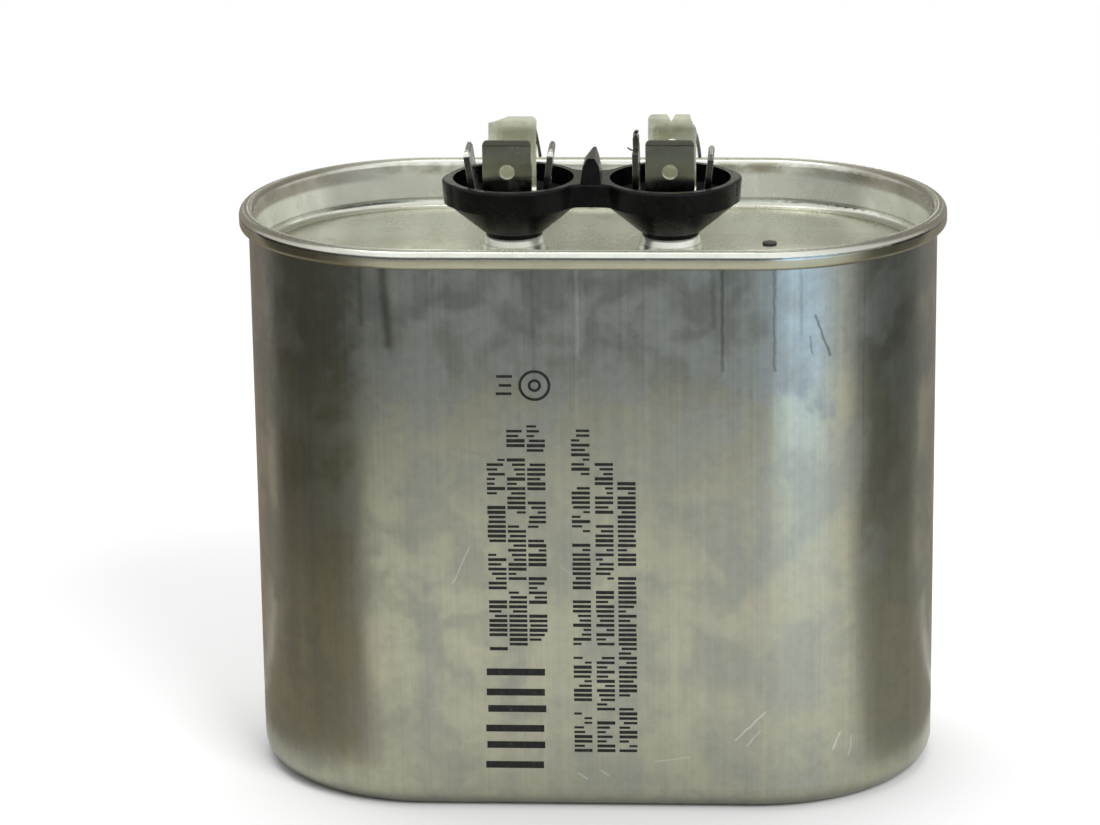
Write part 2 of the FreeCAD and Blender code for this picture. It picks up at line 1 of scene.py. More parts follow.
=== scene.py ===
"""Looks of an oval motor run capacitor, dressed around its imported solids.

Sizes are in metres, in the frame of the solids: the origin is the centre of the can's base, +X runs
along the oval, -Y is the printed front and +Z is up. Patterns are written in millimetres.
"""
import json
import logging
import math
from dataclasses import dataclass
from enum import Enum
from typing import Any, Optional, Union

import bmesh
import bpy
from mathutils import Matrix, Vector


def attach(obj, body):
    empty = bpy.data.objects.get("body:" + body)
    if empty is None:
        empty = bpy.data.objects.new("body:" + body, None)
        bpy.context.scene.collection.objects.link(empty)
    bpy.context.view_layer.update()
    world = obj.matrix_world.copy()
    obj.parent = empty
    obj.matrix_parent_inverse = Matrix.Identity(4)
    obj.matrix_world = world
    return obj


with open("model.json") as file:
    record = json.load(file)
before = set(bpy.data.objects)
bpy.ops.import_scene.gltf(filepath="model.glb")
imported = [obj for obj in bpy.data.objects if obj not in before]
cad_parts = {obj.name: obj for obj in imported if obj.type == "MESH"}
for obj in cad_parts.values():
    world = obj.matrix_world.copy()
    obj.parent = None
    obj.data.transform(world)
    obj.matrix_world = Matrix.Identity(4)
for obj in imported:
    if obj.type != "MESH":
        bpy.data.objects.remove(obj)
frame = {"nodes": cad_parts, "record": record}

Colour = tuple[float, float, float]
Place = tuple[float, float, float]
Span = tuple[float, float]
Socket = bpy.types.NodeSocket
Feed = Union[Socket, float, tuple]
MM = 0.001
ORIGIN: Place = (0.0, 0.0, 0.0)
WHITE: Colour = (1.0, 1.0, 1.0)
SOCKET_TYPES = {float: "NodeSocketFloat", int: "NodeSocketInt", tuple: "NodeSocketVector"}
log = logging.getLogger("capacitor")


class Graph:
    """Short calls for making and joining the nodes of one tree."""

    def __init__(self, tree: bpy.types.NodeTree) -> None:
        """Keep the tree that the nodes go into."""
        self.tree = tree

    def node(self, kind: str, inputs: Optional[dict] = None, **settings: Any) -> bpy.types.Node:
        """Add one node.

        Args:
            kind: The node's type in Blender.
            inputs: Values or sockets by input name or number.
            settings: Attributes of the node itself.

        Returns:
            The new node.
        """
        made = self.tree.nodes.new(kind)
        for name, value in settings.items():
            setattr(made, name, value)
        for key, value in (inputs or {}).items():
            self.feed(made.inputs[key], value)
        return made

    def feed(self, socket: Socket, value: Feed) -> None:
        """Link a socket into another one, or set its plain value.

        Args:
            socket: The input to fill.
            value: A socket to link, a number or a tuple.
        """
        if isinstance(value, Socket):
            self.tree.links.new(value, socket)
        elif isinstance(value, tuple) and len(value) == 3 and len(socket.default_value) == 4:
            socket.default_value = (*value, 1.0)
        else:
            socket.default_value = value

    def maths(self, operation: str, first: Feed, second: Feed = 0.0, clamp: bool = False) -> Socket:
        """Combine two numbers.

        Args:
            operation: Name of the Math node's operation.
            first: First number.
            second: Second number.
            clamp: Whether to keep the result from 0 to 1.

        Returns:
            The resulting socket.
        """
        inputs = {0: first, 1: second}
        return self.node("ShaderNodeMath", inputs, operation=operation, use_clamp=clamp).outputs[0]

    def times(self, first: Feed, *others: Feed) -> Feed:
        """Multiply numbers, from the first to the last."""
        for other in others:
            first = self.maths("MULTIPLY", first, other)
        return first

    def vector(self, operation: str, first: Feed, second: Feed = ORIGIN) -> Socket:
        """Combine two vectors to a vector."""
        return self.node("ShaderNodeVectorMath", {0: first, 1: second}, operation=operation).outputs[0]

    def measure(self, operation: str, first: Feed, second: Feed = ORIGIN) -> Socket:
        """Combine two vectors to a number."""
        return self.node("ShaderNodeVectorMath", {0: first, 1: second}, operation=operation).outputs["Value"]

    def scaled(self, vector: Feed, factor: Feed) -> Socket:
        """Multiply a vector by one number."""
        inputs = {0: vector, "Scale": factor}
        return self.node("ShaderNodeVectorMath", inputs, operation="SCALE").outputs[0]

    def xyz(self, x: Feed = 0.0, y: Feed = 0.0, z: Feed = 0.0) -> Socket:
        """Join three numbers to a vector."""
        return self.node("ShaderNodeCombineXYZ", {0: x, 1: y, 2: z}).outputs[0]

    def split(self, vector: Feed) -> Any:
        """The three numbers of a vector, by their place in it."""
        return self.node("ShaderNodeSeparateXYZ", {0: vector}).outputs

    def stretched(self, value: Feed, low: Feed, high: Feed, to_low: Feed = 0.0,
                  to_high: Feed = 1.0) -> Socket:
        """Map a range of numbers to another one with soft ends.

        Args:
            value: Number to map.
            low: Start of the range that is read.
            high: End of the range that is read.
            to_low: Result at the start.
            to_high: Result at the end.

        Returns:
            The mapped number.
        """
        inputs = {"Value": value, "From Min": low, "From Max": high, "To Min": to_low, "To Max": to_high}
        return self.node("ShaderNodeMapRange", inputs, interpolation_type="SMOOTHSTEP").outputs[0]

    def blend(self, share: Feed, first: Feed, second: Feed) -> Socket:
        """Mix two colours, with a share of the second one."""
        inputs = {"Factor": share, 6: first, 7: second}
        return self.node("ShaderNodeMix", inputs, data_type="RGBA", blend_type="MIX").outputs[2]

    def noise(self, vector: Feed, detail: float = 3.0, rough: float = 0.55, warp: float = 0.0) -> Socket:
        """Noise from 0 to 1 with one unit of the vector to a feature.

        Args:
            vector: Place to read it at.
            detail: Number of finer octaves.
            rough: Strength of the finer octaves.
            warp: Distortion.

        Returns:
            The noise's value.
        """
        inputs = {"Vector": vector, "Scale": 1.0, "Detail": detail, "Roughness": rough, "Distortion": warp}
        return self.node("ShaderNodeTexNoise", inputs).outputs[0]

    def give(self, end: Socket, geometry: Socket, material: bpy.types.Material) -> None:
        """End a geometry tree with real, finished geometry.

        Args:
            end: The tree's output.
            geometry: What it has made.
            material: The finish of it.
        """
        real = self.node("GeometryNodeRealizeInstances", {"Geometry": geometry}).outputs[0]
        finish = self.node("GeometryNodeSetMaterial", {"Geometry": real, "Material": material})
        self.feed(end, finish.outputs[0])


class Tree(Enum):
    """Kinds of node group: the tree's type, and the name and type of its one output."""

    SHADER = ("ShaderNodeTree", "Mask", "NodeSocketFloat")
    GEOMETRY = ("GeometryNodeTree", "Geometry", "NodeSocketGeometry")


def begun(name: str, kind: Tree, inputs: dict[str, Any]) -> tuple[Graph, Any, Socket]:
    """Begin a node group with named inputs and one output.

    Args:
        name: Name of the group.
        kind: Kind of group.
        inputs: Default values by input name.

    Returns:
        The graph, what comes in by input name, and the socket that takes the result.
    """
    tree_type, output, output_type = kind.value
    tree = bpy.data.node_groups.new(name, tree_type)
    for title, default in inputs.items():
        socket_type = SOCKET_TYPES[type(default)]
        tree.interface.new_socket(title, in_out="INPUT", socket_type=socket_type).default_value = default
    tree.interface.new_socket(output, in_out="OUTPUT", socket_type=output_type)
    g = Graph(tree)
    return g, g.node("NodeGroupInput").outputs, g.node("NodeGroupOutput").inputs[0]


def cleared(owner: Union[bpy.types.Material, bpy.types.World]) -> Graph:
    """The empty node graph of a new material or world."""
    owner.use_nodes = True
    owner.node_tree.nodes.clear()
    return Graph(owner.node_tree)


def placed(name: str, data: Any) -> bpy.types.Object:
    """A new object in the scene, at the origin."""
    made = bpy.data.objects.new(name, data)
    bpy.context.scene.collection.objects.link(made)
    return made


def mesh_of(name: str, points: list, faces: list) -> bpy.types.Mesh:
    """A new mesh of points and faces."""
    data = bpy.data.meshes.new(name)
    data.from_pydata(points, [], faces)
    return data


class Effects:
    """Shader node groups that several finishes share, each built once.

    Scratches and strokes follow a noise: where it is read, and how much it cuts or bends them.
    """

    middle = 0.5
    cut_scale, cut_shift = 0.35, (7.0, 3.0, 5.0)
    cut_level, cut_gain, cut_blur = 0.72, 0.3, 0.08
    bend_scale, bend_reach = 0.8, 0.5

    def __init__(self) -> None:
        """Build every group."""
        self.lines = self._lines()
        self.clouds = self._clouds()
        self.scratches = self._scratches()
        self.stroke = self._stroke()
        self.edges = self._edges()

    def _lines(self) -> bpy.types.NodeTree:
        """Fine upright lines left by drawing: noise stretched along Z."""
        g, start, end = begun("drawing lines", Tree.SHADER, {
            "Place": ORIGIN, "Pitch": 0.5, "Length": 40.0, "Contrast": 0.25})
        across = g.maths("DIVIDE", 1.0, start["Pitch"])
        along = g.maths("DIVIDE", 1.0, start["Length"])
        place = g.vector("MULTIPLY", start["Place"], g.xyz(across, across, along))
        low = g.maths("SUBTRACT", self.middle, start["Contrast"])
        high = g.maths("ADD", self.middle, start["Contrast"])
        g.feed(end, g.stretched(g.noise(place, detail=4.0, rough=0.6), low, high))
        return g.tree

    def _clouds(self) -> bpy.types.NodeTree:
        """Soft cloudy patches."""
        g, start, end = begun("clouds", Tree.SHADER, {
            "Place": ORIGIN, "Size": 10.0, "Low": 0.4, "High": 0.65})
        place = g.scaled(start["Place"], g.maths("DIVIDE", 1.0, start["Size"]))
        value = g.noise(place, detail=6.0, rough=0.6, warp=0.4)
        g.feed(end, g.stretched(value, start["Low"], start["High"]))
        return g.tree

    def _scratches(self) -> bpy.types.NodeTree:
        """Hairline scratches that lean one way, broken into short lengths."""
        g, start, end = begun("scratches", Tree.SHADER, {
            "Place": ORIGIN, "Spacing": 4.0, "Stretch": 6.0, "Width": 0.012, "Amount": 0.5, "Turn": ORIGIN})
        turned = g.node("ShaderNodeVectorRotate", {"Vector": start["Place"], "Rotation": start["Turn"]},
                        rotation_type="EULER_XYZ").outputs[0]
        across = g.maths("DIVIDE", 1.0, start["Spacing"])
        along = g.maths("DIVIDE", across, start["Stretch"])
        value = g.noise(g.vector("MULTIPLY", turned, g.xyz(across, across, along)), detail=1.5, rough=0.5)
        off = g.maths("ABSOLUTE", g.maths("SUBTRACT", value, self.middle))
        line = g.stretched(off, 0.0, start["Width"], 1.0, 0.0)
        elsewhere = g.vector("ADD", g.scaled(start["Place"], self.cut_scale), self.cut_shift)
        low = g.maths("SUBTRACT", self.cut_level, g.times(start["Amount"], self.cut_gain))
        high = g.maths("ADD", low, self.cut_blur)
        g.feed(end, g.times(line, g.stretched(g.noise(elsewhere), low, high)))
        return g.tree

    def _stroke(self) -> bpy.types.NodeTree:
        """One thin mark on the printed front, from a start to an end."""
        g, start, end = begun("stroke", Tree.SHADER, {
            "Place": ORIGIN, "Start": ORIGIN, "End": (0.0, 0.0, 1.0), "Width": 0.2})
        flat = g.vector("MULTIPLY", start["Place"], (1.0, 0.0, 1.0))
        value = g.noise(g.scaled(flat, self.bend_scale))
        bent = g.times(g.maths("SUBTRACT", value, self.middle), self.bend_reach)
        run = g.vector("SUBTRACT", start["End"], start["Start"])
        off = g.vector("SUBTRACT", g.vector("ADD", flat, g.xyz(bent)), start["Start"])
        share = g.maths("DIVIDE", g.measure("DOT_PRODUCT", off, run), g.measure("DOT_PRODUCT", run, run),
                        clamp=True)
        distance = g.measure("LENGTH", g.vector("SUBTRACT", off, g.scaled(run, share)))
        line = g.stretched(distance, 0.0, start["Width"], 1.0, 0.0)
        front = g.maths("LESS_THAN", g.split(start["Place"])[1], 0.0)
        g.feed(end, g.times(line, front))
        return g.tree

    def _edges(self) -> bpy.types.NodeTree:
        """Convex and concave edges, from the difference between the true and a rounded normal."""
        g, start, end = begun("edges", Tree.SHADER, {"Radius": 0.0003, "Low": 0.02, "High": 0.2})
        rounded = g.node("ShaderNodeBevel", {"Radius": start["Radius"]}, samples=6).outputs[0]
        true = g.node("ShaderNodeNewGeometry").outputs["Normal"]
        bend = g.maths("SUBTRACT", 1.0, g.measure("DOT_PRODUCT", rounded, true))
        g.feed(end, g.stretched(bend, start["Low"], start["High"]))
        return g.tree


class Surface:
    """One material under construction: its graph, its shader and its place in millimetres."""

    def __init__(self, name: str) -> None:
        """Make the material, by its name, with a bare shader."""
        self.material = bpy.data.materials.new(name)
        self.graph = cleared(self.material)
        self.shader = self.graph.node("ShaderNodeBsdfPrincipled")
        self.graph.node("ShaderNodeOutputMaterial", {"Surface": self.shader.outputs[0]})
        self.place = self.graph.scaled(self.graph.node("ShaderNodeTexCoord").outputs["Object"], 1.0 / MM)

    def effect(self, tree: bpy.types.NodeTree, **inputs: Feed) -> Socket:
        """Place one shared effect with its own values.

        Args:
            tree: The effect's group.
            inputs: Values by input name.

        Returns:
            The effect's mask.
        """
        made = self.graph.node("ShaderNodeGroup", node_tree=tree)
        if "Place" in made.inputs:
            inputs["Place"] = self.place
        for name, value in inputs.items():
            self.graph.feed(made.inputs[name], value)
        return made.outputs["Mask"]

    def layers(self, base: Feed, *tones: tuple[Socket, float, Colour]) -> Feed:
        """Lay tones over a colour.

        Args:
            base: The colour under them all.
            tones: Mask, strength and colour of each tone, from the lowest one up.

        Returns:
            The mixed colour.
        """
        for mask, strength, tone in tones:
            base = self.graph.blend(self.graph.times(mask, strength), base, tone)
        return base

    def rough(self, span: Span, mask: Socket, finer: Optional[Socket] = None, share: float = 0.0) -> Socket:
        """Roughness that follows a mask.

        Args:
            span: The least and the most roughness.
            mask: What it follows.
            finer: A second mask to add.
            share: Strength of the second mask.

        Returns:
            The roughness.
        """
        if finer is not None:
            mask = self.graph.maths("ADD", mask, self.graph.times(finer, share))
        return self.graph.stretched(mask, 0.0, 1.0 + share, *span)

    def bumps(self, *reliefs: tuple[Socket, float]) -> Optional[Socket]:
        """Raise the surface by heights, one on another.

        Args:
            reliefs: Height from 0 to 1, and the metres that 1 stands for, of each relief.

        Returns:
            The new normal.
        """
        normal = None
        for height, depth in reliefs:
            inputs: dict = {"Height": height, "Distance": depth, "Strength": 1.0}
            if normal is not None:
                inputs["Normal"] = normal
            normal = self.graph.node("ShaderNodeBump", inputs).outputs[0]
        return normal

    def set(self, **inputs: Feed) -> None:
        """Feed the shader's sockets; an underscore in a name stands for a space."""
        for name, value in inputs.items():
            self.graph.feed(self.shader.inputs[name.replace("_", " ")], value)


@dataclass(frozen=True)
class Finish:
    """Recipe of one material. A span in a finish says where its mask is 0 and where it is 1."""

    name: str

    def make(self, effects: Effects) -> bpy.types.Material:
        """Build the material.

        Args:
            effects: The shared groups.

        Returns:
            The finished material.
        """
        surface = Surface(self.name)
        self.paint(surface, surface.graph, effects)
        return surface.material

    def paint(self, s: Surface, g: Graph, e: Effects) -> None:
        """Lay out the nodes; every kind of finish has its own way.

        Args:
            s: The surface to paint.
            g: Its graph.
            e: The shared groups.
        """
        raise NotImplementedError


@dataclass(frozen=True)
class Stroke:
    """One scratch or streak on the can's front, in millimetres along X and Z."""

    start: tuple[float, float]
    end: tuple[float, float]
    width: float
    strength: float
    bright: bool = False


@dataclass(frozen=True)
class DrawnAluminium(Finish):
    """Drawn aluminium of the can, matte, with clouds, streaks, scuffs and painted shade at its top and foot.
    """

    name: str = "drawn aluminium"
    metal: Colour = (0.365, 0.357, 0.255)
    # Clouds, and the painted shade towards the top.
    clouds_and_top_shade: Colour = (0.225, 0.240, 0.225)
    # Dirt, and the painted shade along the foot.
    dirt_and_foot_shade: Colour = (0.10, 0.095, 0.075)
    bright: Colour = (0.66, 0.665, 0.63)
    roughness: Span = (0.29, 0.42)
    # Heights in millimetres where the painted shade towards the top sets in, and how far the clouds shift
    # it.
    top_shade: Span = (56.0, 63.0)
    top_shade_sway: float = 6.0
    # Heights in millimetres over which the painted shade along the foot fades out.
    foot: Span = (0.2, 2.6)
    strokes: tuple[Stroke, ...] = (
        Stroke((-25.7, 74.0), (-25.0, 63.5), 1.1, 0.75),
        Stroke((-28.6, 74.0), (-28.5, 66.0), 0.5, 0.35),
        Stroke((-6.6, 74.0), (-6.5, 58.0), 0.4, 0.3),
        Stroke((-0.9, 74.0), (-0.8, 62.0), 0.4, 0.18, True),
        Stroke((4.6, 74.0), (4.5, 62.0), 0.4, 0.25),
        Stroke((17.5, 74.0), (17.5, 60.4), 0.4, 0.6),
        Stroke((16.3, 74.0), (16.4, 66.0), 0.5, 0.35),
        Stroke((24.05, 74.0), (24.1, 60.4), 0.35, 0.6),
        Stroke((27.4, 74.0), (27.5, 65.0), 0.4, 0.3),
        Stroke((29.26, 67.3), (31.2, 61.9), 0.28, 0.8),
        Stroke((28.6, 64.6), (28.9, 62.4), 0.22, 0.6),
        Stroke((19.15, 10.0), (23.05, 13.95), 0.2, 0.5, True),
        Stroke((20.6, 9.2), (22.4, 11.4), 0.16, 0.4, True),
        Stroke((31.9, 8.0), (32.8, 10.1), 0.25, 0.5, True),
        Stroke((34.0, 6.8), (34.3, 9.4), 0.2, 0.35, True),
        Stroke((-1.4, 5.2), (-0.2, 4.4), 0.2, 0.4, True),
        Stroke((1.6, 5.6), (2.6, 4.9), 0.18, 0.35, True),
        Stroke((8.6, 6.9), (13.2, 7.6), 0.16, 0.3, True),
        Stroke((-17.4, 31.5), (-15.2, 36.4), 0.14, 0.4, True),
    )

    def paint(self, s: Surface, g: Graph, e: Effects) -> None:
        """Cloud the metal, darken its top and foot with painted shade, and mark it with drawing lines,
        scuffs and the strokes.
        """
        fine = s.effect(e.lines, Pitch=0.35, Length=45.0, Contrast=0.3)
        broad = s.effect(e.lines, Pitch=2.2, Length=50.0, Contrast=0.2)
        clouds = s.effect(e.clouds, Size=8.0, Low=0.40, High=0.62)
        mottle = s.effect(e.clouds, Size=1.3, Low=0.4, High=0.7)
        scratches = s.effect(e.scratches, Spacing=9.0, Stretch=5.0, Width=0.003, Amount=0.25,
                             Turn=(0.0, 0.5, 0.0))
        nicks = s.effect(e.scratches, Spacing=5.0, Stretch=3.0, Width=0.004, Amount=0.15,
                         Turn=(0.3, -0.9, 0.4))
        height = g.split(s.place)[2]
        # Painted shade: darker towards the top, in cloudy patches.
        top_shade = g.stretched(g.maths("ADD", height, g.times(clouds, self.top_shade_sway)), *self.top_shade)
        # Painted shade: dark along the foot.
        foot = g.stretched(height, *self.foot, 1.0, 0.0)
        colour = s.layers(
            self.metal, (clouds, 0.3, self.clouds_and_top_shade), (top_shade, 0.55, self.clouds_and_top_shade),
            (g.times(top_shade, mottle), 0.3, self.clouds_and_top_shade), (fine, 0.12, self.bright),
            (broad, 0.28, self.clouds_and_top_shade), (mottle, 0.10, self.dirt_and_foot_shade), (foot, 0.6, self.dirt_and_foot_shade),
            (scratches, 0.22, self.bright), (nicks, 0.25, self.dirt_and_foot_shade))
        for stroke in self.strokes:
            mask = s.effect(e.stroke, Start=(stroke.start[0], 0.0, stroke.start[1]),
                            End=(stroke.end[0], 0.0, stroke.end[1]), Width=stroke.width)
            colour = s.layers(colour, (mask, stroke.strength, self.bright if stroke.bright else self.dirt_and_foot_shade))
        relief = g.maths("SUBTRACT", scratches, nicks)
        s.set(Base_Color=colour, Roughness=s.rough(self.roughness, clouds, fine, 0.3), Metallic=1.0,
              Normal=s.bumps((fine, 0.000004), (mottle, 0.000003), (relief, 0.000006)))


@dataclass(frozen=True)
class TinnedSteel(Finish):
    """Bright tinned steel of the lid and its bosses, less glossy where the seam is rolled, with painted
    reflection and shade.

    Its zones are told by the height, and by the reach: the distance from the oval's spine, both in
    millimetres.
    """

    name: str = "tinned steel"
    metal: Colour = (0.82, 0.84, 0.75)
    cloudy: Colour = (0.65, 0.67, 0.59)
    # Stains, and the painted shade lines round the lid floor's crease.
    stain_and_crease_shade: Colour = (0.27, 0.25, 0.16)
    # Painted reflection: the olive band on the seam's outer face.
    olive_reflection: Colour = (0.33, 0.31, 0.20)
    # Painted reflection: brown on the seam towards the oval's ends.
    brown_end_reflection: Colour = (0.31, 0.28, 0.235)
    # Painted shade on the recessed lid floor.
    floor: Colour = (0.46, 0.45, 0.375)
    # Painted reflection: the dark line on the seam; also the painted shade on the crown's near lip, and the
    # rolled marks in the band.
    line: Colour = (0.10, 0.095, 0.07)
    roughness: Span = (0.21, 0.31)
    band_roughness: float = 0.08
    hazy: float = 0.6
    spine: float = 21.5
    outer_face: Span = (24.3, 24.6)
    # Heights in millimetres of the painted olive band and the painted dark line above it.
    band_top: Span = (75.25, 75.1)
    line_foot: Span = (75.13, 75.3)
    line_top: Span = (75.57, 75.45)
    ramp_height: Span = (73.5, 75.35)
    seam_height: Span = (73.5, 74.1)
    wall_face: Span = (23.15, 23.05)
    wall_height: Span = (70.55, 71.35)
    wall_top: Span = (73.95, 74.85)
    # Painted shade lines where the inner wall bends into the lid floor: their height and reach in
    # millimetres.
    foot_bend: float = 70.95
    bend_line: Span = (0.16, 0.06)
    floor_edge: float = 21.62
    edge_line: Span = (0.22, 0.08)
    edge_height: Span = (70.95, 70.65)
    # Heights in millimetres where the painted shade on the lid floor sets in.
    floor_height: Span = (70.55, 69.85)
    # Where the painted shade on the crown's near lip lies, in millimetres.
    crown_face: Span = (23.6, 23.5)
    crown_height: Span = (75.25, 75.45)
    near_side: Span = (-6.0, -12.0)
    # Reach in millimetres along the oval where the painted brown reflection sets in.
    end_reach: Span = (26.0, 41.0)

    def seam(self, g: Graph, place: Any, reach: Socket) -> tuple[Feed, Feed, Feed]:
        """Masks of the seam's outer face.

        Args:
            g: The material's graph.
            place: The three coordinates.
            reach: Distance from the spine.

        Returns:
            The rolled band, which takes a painted olive reflection, the painted dark line above the band,
            and a ramp up the band.
        """
        outside = g.stretched(reach, *self.outer_face)
        band, above, below, ramp = (g.stretched(place[2], *span) for span in (
            self.band_top, self.line_foot, self.line_top, self.ramp_height))
        return g.times(band, outside), g.times(above, below, outside), g.times(ramp, outside)

    def recess(self, g: Graph, place: Any, reach: Socket) -> tuple[Feed, Feed, Feed, Feed]:
        """Masks inside the rim.

        Args:
            g: The material's graph.
            place: The three coordinates.
            reach: Distance from the spine.

        Returns:
            The wall, its top, the thin lines round the floor, and the crown's near lip.
        """
        inside, crown = g.stretched(reach, *self.wall_face), g.stretched(reach, *self.crown_face)
        wall, top, low, high = (g.stretched(place[2], *span) for span in (
            self.wall_height, self.wall_top, self.edge_height, self.crown_height))
        off_bend = g.maths("ABSOLUTE", g.maths("SUBTRACT", place[2], self.foot_bend))
        off_edge = g.maths("ABSOLUTE", g.maths("SUBTRACT", reach, self.floor_edge))
        bend = g.times(g.stretched(off_bend, *self.bend_line), inside)
        edge = g.times(g.stretched(off_edge, *self.edge_line), low)
        # Painted shade on the crown's near lip, on the near side only.
        lip = g.times(crown, high, g.stretched(place[1], *self.near_side))
        return g.times(wall, inside), g.times(top, inside), g.maths("MAXIMUM", bend, edge), lip

    def paint(self, s: Surface, g: Graph, e: Effects) -> None:
        """Cloud and discolour the metal, and tone the seam, the recess and the oval's ends with painted
        reflection and shade.
        """
        clouds = s.effect(e.clouds, Size=6.0, Low=0.4, High=0.65)
        speckle = s.effect(e.clouds, Size=0.9, Low=0.45, High=0.75)
        rolled = s.effect(e.lines, Pitch=9.0, Length=0.12, Contrast=0.25)
        scratches = s.effect(e.scratches, Spacing=6.0, Stretch=5.0, Width=0.003, Amount=0.35,
                             Turn=(1.2, 0.0, 0.5))
        place = g.split(s.place)
        length = g.maths("ABSOLUTE", place[0])
        past = g.maths("MAXIMUM", g.maths("SUBTRACT", length, self.spine), 0.0)
        reach = g.measure("LENGTH", g.xyz(past, place[1]))
        band, line, ramp = self.seam(g, place, reach)
        # Painted shade: thin lines round the floor's crease, and the crown's near lip.
        wall, under, rings, lip = self.recess(g, place, reach)
        # Painted reflection: brown on the seam towards the oval's ends.
        ends = g.times(g.stretched(length, *self.end_reach), g.stretched(place[2], *self.seam_height))
        # Painted shade on the recessed lid floor.
        floor = g.stretched(place[2], *self.floor_height)
        # Painted reflection on the seam and the ends; painted shade on the lid floor, round its crease and
        # on the crown's near lip.
        colour = s.layers(
            self.metal, (clouds, 0.6, self.cloudy), (speckle, 0.08, self.stain_and_crease_shade), (floor, 0.75, self.floor),
            (g.times(under, clouds), 0.75, self.stain_and_crease_shade), (rings, 0.45, self.stain_and_crease_shade), (ends, 0.75, self.brown_end_reflection),
            (band, 0.85, self.olive_reflection), (g.times(band, rolled), 0.25, self.line),
            (g.maths("MAXIMUM", line, lip), 0.75, self.line), (scratches, 0.25, self.stain_and_crease_shade))
        rough = g.maths("ADD", s.rough(self.roughness, clouds, speckle, 0.4),
                        g.times(band, self.band_roughness))
        s.set(Base_Color=colour, Roughness=rough, Metallic=g.stretched(wall, 0.0, 1.0, 1.0, self.hazy),
              Normal=s.bumps((ramp, 0.00022), (speckle, 0.000003), (scratches, 0.00001)))


@dataclass(frozen=True)
class TinnedTab(Finish):
    """Tarnished tin on the push-on tabs and rivets, with painted shade on the outer faces and painted
    highlight on the edges.

    Its zones are told by the coordinates in millimetres. The outer faces of the front tabs lean.
    """

    name: str = "tinned tab"
    metal: Colour = (0.58, 0.585, 0.45)
    tarnish: Colour = (0.36, 0.365, 0.275)
    # Painted shade on the front tabs' outer faces.
    dull: Colour = (0.33, 0.33, 0.25)
    dark: Colour = (0.05, 0.05, 0.04)
    shaded: Colour = (0.10, 0.10, 0.085)
    # Painted highlight on the rear tabs' feet, the edges and a side tab's near tip; also the rubbing lines.
    bright: Colour = (0.90, 0.90, 0.85)
    roughness: Span = (0.18, 0.28)
    # Where the painted shade on the front tabs' outer faces lies.
    front_foot: float = 77.0
    front_lean: float = 0.061
    outer_face: Span = (4.55, 4.7)
    front_depth: Span = (-3.35, -3.45)
    front_tip: Span = (85.05, 85.2)
    # Where the painted highlight on the rear tabs' feet lies.
    rear_depth: Span = (3.35, 3.45)
    rear_foot: Span = (85.05, 82.85)
    side_depth: Span = (3.35, 3.25)
    # Where the painted highlight on the left side tab's near tip lies.
    side_tip: Span = (83.0, 83.1)
    near_corner: Span = (-1.4, -1.9)
    left_half: Span = (0.5, -0.5)

    def zones(self, s: Surface, g: Graph) -> tuple[Feed, Feed, Feed, Feed, Feed]:
        """Masks of the tabs.

        Args:
            s: The surface.
            g: Its graph.

        Returns:
            Front tabs' outer faces for painted shade, rear tabs' feet for painted highlight, front tips,
            side tabs, and the left side tab's near tip for painted highlight.
        """
        x, y, z = g.split(s.place)
        lean = g.times(g.maths("SUBTRACT", z, self.front_foot), self.front_lean)
        ahead = g.maths("SUBTRACT", g.times(y, -1.0), lean)
        tip = g.times(g.stretched(y, *self.front_depth), g.stretched(z, *self.front_tip))
        side = g.stretched(g.maths("ABSOLUTE", y), *self.side_depth)
        cap = g.times(g.stretched(y, *self.near_corner), g.stretched(x, *self.left_half),
                      g.stretched(z, *self.side_tip), side)
        rear = g.times(g.stretched(z, *self.rear_foot), g.stretched(y, *self.rear_depth))
        return g.stretched(ahead, *self.outer_face), rear, tip, side, cap

    def paint(self, s: Surface, g: Graph, e: Effects) -> None:
        """Tarnish the metal, and tone it by zones and along its edges with painted shade and highlight."""
        clouds = s.effect(e.clouds, Size=4.0, Low=0.38, High=0.68)
        speckle = s.effect(e.clouds, Size=0.4, Low=0.55, High=0.8)
        rubs = s.effect(e.lines, Pitch=0.25, Length=6.0, Contrast=0.22)
        # Painted highlight along the edges.
        edges = s.effect(e.edges, Radius=0.0002, Low=0.02, High=0.25)
        outer, rear, tip, side, cap = self.zones(s, g)
        # Painted shade on the outer faces and the side tabs; painted highlight on the rear feet, the edges
        # and the near tip.
        colour = s.layers(
            self.metal, (clouds, 0.5, self.tarnish), (rear, 0.6, self.bright), (outer, 0.95, self.dull),
            (side, 0.95, self.shaded), (speckle, 0.2, self.shaded), (rubs, 0.06, self.bright),
            (edges, 0.75, self.bright), (tip, 0.9, self.dark), (cap, 0.9, self.bright))
        s.set(Base_Color=colour, Roughness=s.rough(self.roughness, clouds), Metallic=1.0,
              Normal=s.bumps((rubs, 0.000004), (speckle, 0.000005)))


